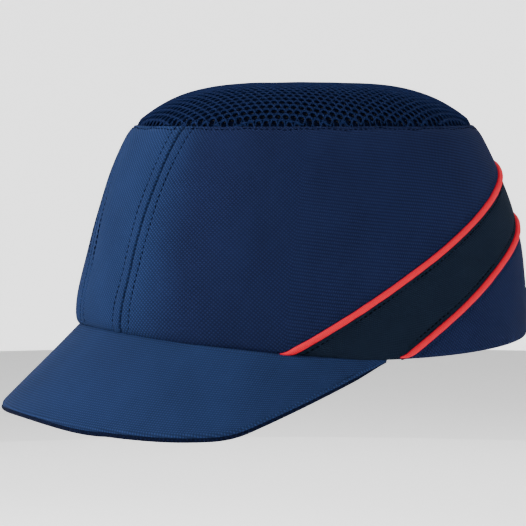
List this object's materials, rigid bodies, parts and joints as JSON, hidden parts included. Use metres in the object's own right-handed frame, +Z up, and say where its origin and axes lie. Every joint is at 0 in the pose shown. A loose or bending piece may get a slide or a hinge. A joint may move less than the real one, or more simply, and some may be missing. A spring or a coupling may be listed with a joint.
{
  "type": "bump cap",
  "caption": "Fabric bump cap with short drooping peak, mesh crown, diagonal piped band, removable inner shell and adjustable rear strap.",
  "frame": {"origin": "centre of the head opening, level with the lowest point of the hem at the sides", "axes": "+Z up through the crown, -Y to the peak, +X to the wearer's left"},
  "size_m": [0.192, 0.2543, 0.154],
  "materials": {
    "navy_twill": "navy polyester and cotton twill",
    "dark_twill": "smooth blue-black cloth",
    "red_piping": "coral-red bias tape over cord",
    "binding_tape": "woven tape",
    "label_satin": "blank woven satin label",
    "air_mesh": "open spacer mesh",
    "sweatband_terry": "black terry sweatband",
    "band_foam": "soft foam backing",
    "pad_foam": "closed-cell foam sheet",
    "peak_board_plastic": "flexible plastic board",
    "webbing": "black flat webbing",
    "buckle_plastic": "moulded black plastic",
    "pin_steel": "plain steel pin",
    "shell_plastic": "moulded dark plastic, fine grain"
  },
  "bodies": {
    "cap": {"front_panel": "navy_twill", "left_side_panel": "navy_twill", "right_side_panel": "navy_twill", "left_rear_panel": "navy_twill", "right_rear_panel": "navy_twill", "gusset_band": "dark_twill", "upper_piping": "red_piping", "lower_piping": "red_piping", "rear_opening_binding": "binding_tape", "hem_tape": "binding_tape", "crown_seam_tape": "binding_tape", "left_front_seam_tape": "binding_tape", "right_front_seam_tape": "binding_tape", "care_label": "label_satin", "mesh_top": "air_mesh", "sweatband": "sweatband_terry", "sweatband_foam": "band_foam", "peak_top_cover": "navy_twill", "peak_board": "peak_board_plastic", "peak_under_cover": "navy_twill", "buckle_tab": "webbing", "buckle_frame": "buckle_plastic", "lever_pin": "pin_steel"},
    "insert": {"shell": "shell_plastic", "crown_pad": "pad_foam", "front_pad": "pad_foam", "rear_pad": "pad_foam", "left_pad": "pad_foam", "right_pad": "pad_foam"},
    "strap": {"strap": "webbing", "strap_tip": "buckle_plastic"},
    "lever": {"buckle_lever": "buckle_plastic"}
  },
  "joints": [
    {"name": "insert_slide", "type": "slide", "parent": "cap", "child": "insert", "axis": [0, 0, -1], "range_m": [0, 0.15]},
    {"name": "strap_adjust", "type": "hinge", "parent": "cap", "child": "strap", "pos_m": [0, 0.021, 0.016], "axis": [0, 0, 1], "range_deg": [-18, 18]},
    {"name": "lever_hinge", "type": "hinge", "parent": "cap", "child": "lever", "pos_m": [0.02185, 0.1049, 0.016], "axis": [0, 0, 1], "range_deg": [0, 100]}
  ]
}
